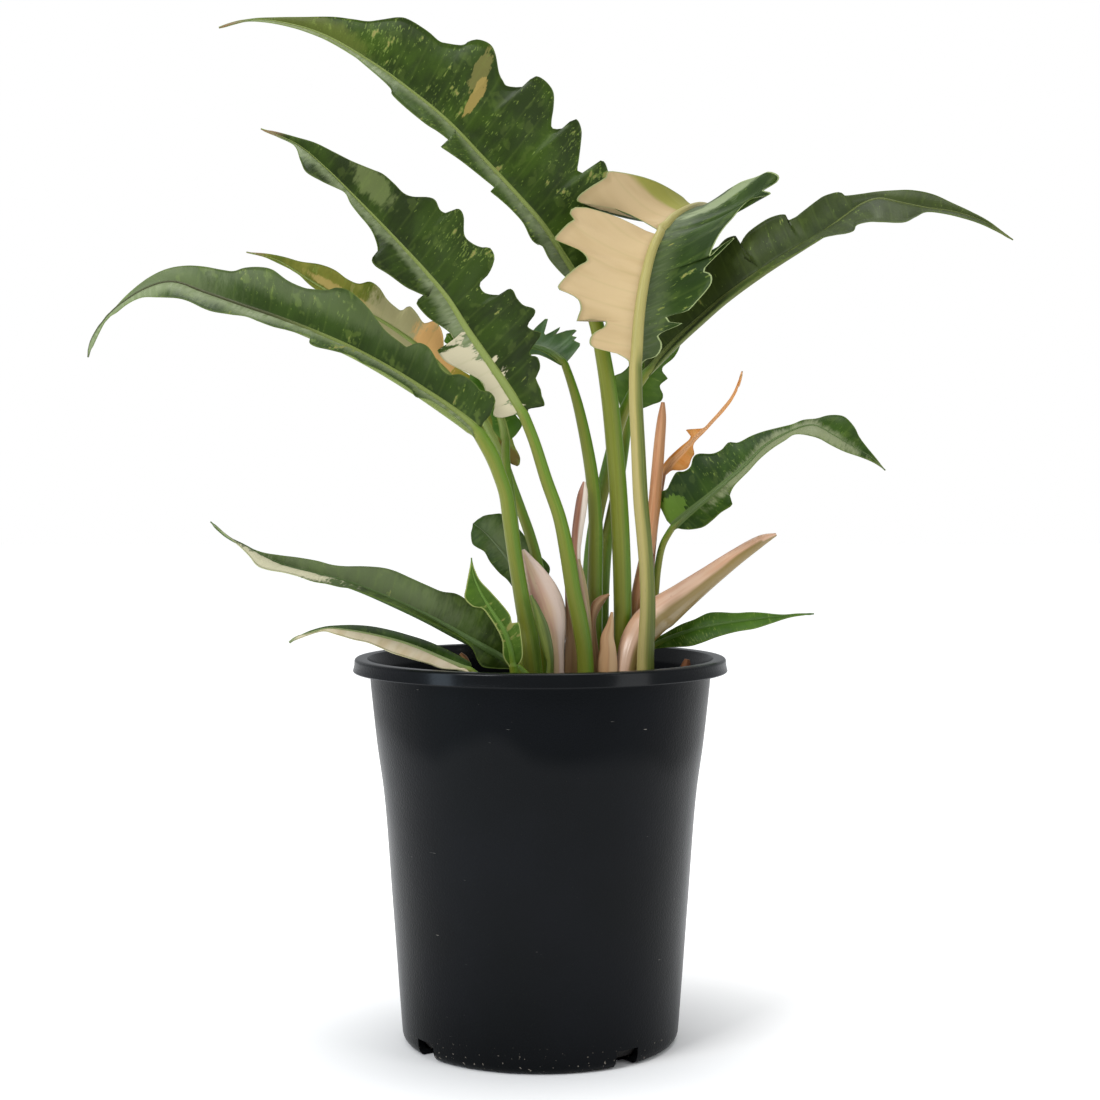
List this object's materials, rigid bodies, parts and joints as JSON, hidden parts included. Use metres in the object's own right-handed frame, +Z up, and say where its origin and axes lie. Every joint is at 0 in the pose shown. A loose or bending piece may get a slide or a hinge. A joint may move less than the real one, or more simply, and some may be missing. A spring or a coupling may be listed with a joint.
{
  "type": "potted philodendron",
  "caption": "Aroid house plant with long lobed, cream-marbled leaves on upright stalks, pink-tan sheaths and dark potting mix, in a plain black tapered nursery pot with a rolled rim",
  "frame": {"origin": "centre of the pot's foot, on the plane that it stands on", "axes": "+Z up, -Y towards the front of the plant as pictured, +X to the right seen from the front"},
  "size_m": [0.4694, 0.2454, 0.5461],
  "materials": {
    "pot": "satin black",
    "soil": "damp crumbly bark and peat mix",
    "leaf_green": "satin leaf, marbled with cream",
    "leaf_cream": "satin cream leaf",
    "leaf_dry": "dry and papery",
    "sheath": "thin pinkish tan sheath",
    "bark": "rough bark"
  },
  "bodies": {
    "root": {"bark_chip": "bark", "dry_stub": "sheath", "leaf_01": "leaf_green", "leaf_02": "leaf_green", "leaf_03": "leaf_green", "leaf_04": "leaf_green", "leaf_05": "leaf_cream", "leaf_06": "leaf_green", "leaf_07": "leaf_green", "leaf_08": "leaf_green", "leaf_09": "leaf_green", "leaf_10": "leaf_green", "leaf_11": "leaf_green", "leaf_12": "leaf_green", "leaf_13": "leaf_green", "leaf_14": "leaf_green", "leaf_15": "leaf_green", "leaf_withered": "leaf_dry", "pot": "pot", "sheath_curled": "sheath", "sheath_front": "sheath", "sheath_green": "sheath", "sheath_leaning": "sheath", "sheath_papery": "sheath", "sheath_small_spear": "sheath", "sheath_strip": "sheath", "sheath_tall_spear": "sheath", "sheath_tan": "sheath", "soil": "soil"}
  },
  "joints": []
}
